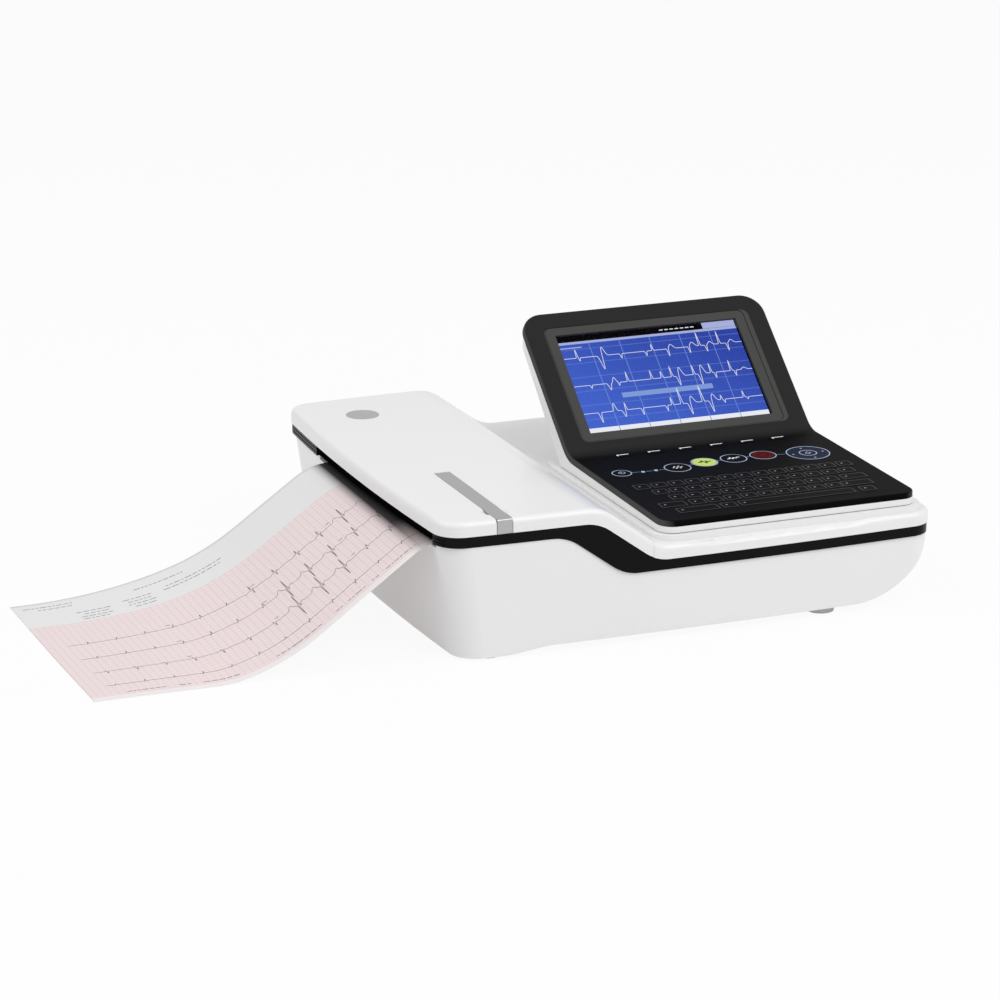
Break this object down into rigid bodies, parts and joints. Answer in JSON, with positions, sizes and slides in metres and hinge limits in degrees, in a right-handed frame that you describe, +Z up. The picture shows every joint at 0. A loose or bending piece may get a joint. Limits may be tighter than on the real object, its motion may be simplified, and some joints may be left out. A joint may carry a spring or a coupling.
{
  "type": "ecg recorder",
  "caption": "Desktop ECG recorder with a lift-up writer door, paper arching from a side slot, a raked colour display, round function keys and a letter keyboard.",
  "frame": {"origin": "on the table, under the middle of the body's plan outline", "axes": "+X to the operator's right, away from the paper; +Y to the back; +Z up"},
  "size_m": [0.6338, 0.3546, 0.1713],
  "materials": {
    "white_shell": "semi-gloss moulded",
    "black_trim": "glossy moulded",
    "charcoal_panel": "satin film",
    "bezel_grey": "satin",
    "screen_glass": "clear",
    "screen": "lit display",
    "key_black": "satin",
    "key_green": "satin",
    "lens": "translucent",
    "brushed_aluminium": "brushed",
    "seal": "matt",
    "foot_rubber": "matt",
    "roller_rubber": "ground",
    "steel": "zinc plated",
    "motor_metal": "black oxide",
    "bronze": "turned",
    "gear_nylon": "moulded",
    "pinion_metal": "cut",
    "head_ceramic": "glazed",
    "board_green": "solder mask",
    "battery_case": "moulded",
    "socket_black": "moulded",
    "tray_plastic": "moulded",
    "paper": "thermal paper"
  },
  "bodies": {
    "base": {"back_plate": "socket_black", "battery_hatch": "white_shell", "battery_pack": "battery_case", "console_gasket": "seal", "console_panel": "charcoal_panel", "console_shell": "white_shell", "display_bezel": "bezel_grey", "display_window": "screen_glass", "equipotential_pin": "bronze", "foot_back_left": "foot_rubber", "foot_back_right": "foot_rubber", "foot_front_left": "foot_rubber", "foot_front_right": "foot_rubber", "hinge_bracket_left": "steel", "hinge_bracket_right": "steel", "keypad_board": "board_green", "keypad_mat": "key_black", "lcd_module": "screen", "lower_housing": "white_shell", "main_board": "board_green", "mains_inlet": "socket_black", "network_port": "steel", "paper_pack": "paper", "paper_tray": "tray_plastic", "patient_connector": "socket_black", "platen_bush_back": "bronze", "platen_bush_front": "bronze", "power_supply": "steel", "printed_sheet": "paper", "status_leds": "lens", "stepper_motor": "motor_metal", "trim_band": "black_trim", "upper_housing": "white_shell", "usb_ports": "steel", "writer_frame": "steel"},
    "door": {"writer_door": "white_shell", "door_badge": "brushed_aluminium", "print_head": "head_ceramic", "head_bracket": "steel", "tear_bar": "black_trim"},
    "latch": {"latch_lever": "brushed_aluminium"},
    "platen": {"platen_shaft": "steel", "platen_roller": "roller_rubber", "platen_gear": "gear_nylon"},
    "idler": {"idler_gear": "gear_nylon"},
    "pinion": {"motor_pinion": "pinion_metal"},
    "power_key": {"power_key": "key_black"},
    "leads_key": {"leads_key": "key_black"},
    "start_key": {"start_key": "key_green"},
    "rhythm_key": {"rhythm_key": "key_black"},
    "stop_key": {"stop_key": "key_black"},
    "nav_pad": {"nav_pad": "key_black"},
    "nav_select": {"nav_select": "key_black"},
    "softkey_1": {"softkey_1": "key_black"},
    "softkey_2": {"softkey_2": "key_black"},
    "softkey_3": {"softkey_3": "key_black"},
    "softkey_4": {"softkey_4": "key_black"},
    "softkey_5": {"softkey_5": "key_black"},
    "softkey_6": {"softkey_6": "key_black"}
  },
  "joints": [
    {"name": "door_hinge", "type": "hinge", "parent": "base", "child": "door", "pos_m": [-0.13, 0.1775, 0.096], "axis": [-1, 0, 0], "range_deg": [0, 75]},
    {"name": "latch_lift", "type": "hinge", "parent": "door", "child": "latch", "pos_m": [-0.1453, -0.052, 0.098], "axis": [-1, 0, 0], "range_deg": [0, 15], "stiffness_Nm_per_rad": 0.1, "springref_deg": -5.73},
    {"name": "platen_spin", "type": "hinge", "parent": "base", "child": "platen", "pos_m": [-0.169, -0.039, 0.077], "axis": [0, 1, 0], "continuous": true},
    {"name": "idler_spin", "type": "hinge", "parent": "base", "child": "idler", "pos_m": [-0.15155, 0.08145, 0.0562], "axis": [0, 1, 0], "continuous": true},
    {"name": "pinion_spin", "type": "hinge", "parent": "base", "child": "pinion", "pos_m": [-0.13449, 0.08145, 0.04999], "axis": [0, 1, 0], "continuous": true},
    {"name": "power_key_press", "type": "slide", "parent": "base", "child": "power_key", "axis": [0, 0.0157, -0.9999], "range_m": [0, 0.0006], "stiffness_N_per_m": 1500, "springref_m": -0.0002},
    {"name": "leads_key_press", "type": "slide", "parent": "base", "child": "leads_key", "axis": [0, 0.0157, -0.9999], "range_m": [0, 0.0006], "stiffness_N_per_m": 1500, "springref_m": -0.0002},
    {"name": "start_key_press", "type": "slide", "parent": "base", "child": "start_key", "axis": [0, 0.0157, -0.9999], "range_m": [0, 0.0006], "stiffness_N_per_m": 1500, "springref_m": -0.0002},
    {"name": "rhythm_key_press", "type": "slide", "parent": "base", "child": "rhythm_key", "axis": [0, 0.0157, -0.9999], "range_m": [0, 0.0006], "stiffness_N_per_m": 1500, "springref_m": -0.0002},
    {"name": "stop_key_press", "type": "slide", "parent": "base", "child": "stop_key", "axis": [0, 0.0157, -0.9999], "range_m": [0, 0.0006], "stiffness_N_per_m": 1500, "springref_m": -0.0002},
    {"name": "nav_pad_press", "type": "slide", "parent": "base", "child": "nav_pad", "axis": [0, 0.0157, -0.9999], "range_m": [0, 0.0006], "stiffness_N_per_m": 1500, "springref_m": -0.0002},
    {"name": "nav_select_press", "type": "slide", "parent": "base", "child": "nav_select", "axis": [0, 0.0157, -0.9999], "range_m": [0, 0.0006], "stiffness_N_per_m": 1500, "springref_m": -0.0002},
    {"name": "softkey_1_press", "type": "slide", "parent": "base", "child": "softkey_1", "axis": [0, 0.0157, -0.9999], "range_m": [0, 0.0006], "stiffness_N_per_m": 1500, "springref_m": -0.0002},
    {"name": "softkey_2_press", "type": "slide", "parent": "base", "child": "softkey_2", "axis": [0, 0.0157, -0.9999], "range_m": [0, 0.0006], "stiffness_N_per_m": 1500, "springref_m": -0.0002},
    {"name": "softkey_3_press", "type": "slide", "parent": "base", "child": "softkey_3", "axis": [0, 0.0157, -0.9999], "range_m": [0, 0.0006], "stiffness_N_per_m": 1500, "springref_m": -0.0002},
    {"name": "softkey_4_press", "type": "slide", "parent": "base", "child": "softkey_4", "axis": [0, 0.0157, -0.9999], "range_m": [0, 0.0006], "stiffness_N_per_m": 1500, "springref_m": -0.0002},
    {"name": "softkey_5_press", "type": "slide", "parent": "base", "child": "softkey_5", "axis": [0, 0.0157, -0.9999], "range_m": [0, 0.0006], "stiffness_N_per_m": 1500, "springref_m": -0.0002},
    {"name": "softkey_6_press", "type": "slide", "parent": "base", "child": "softkey_6", "axis": [0, 0.0157, -0.9999], "range_m": [0, 0.0006], "stiffness_N_per_m": 1500, "springref_m": -0.0002}
  ],
  "couplings": [
    {"joint": "idler_spin", "follows": "platen_spin", "ratio": -1.25},
    {"joint": "pinion_spin", "follows": "platen_spin", "ratio": 2.5}
  ]
}
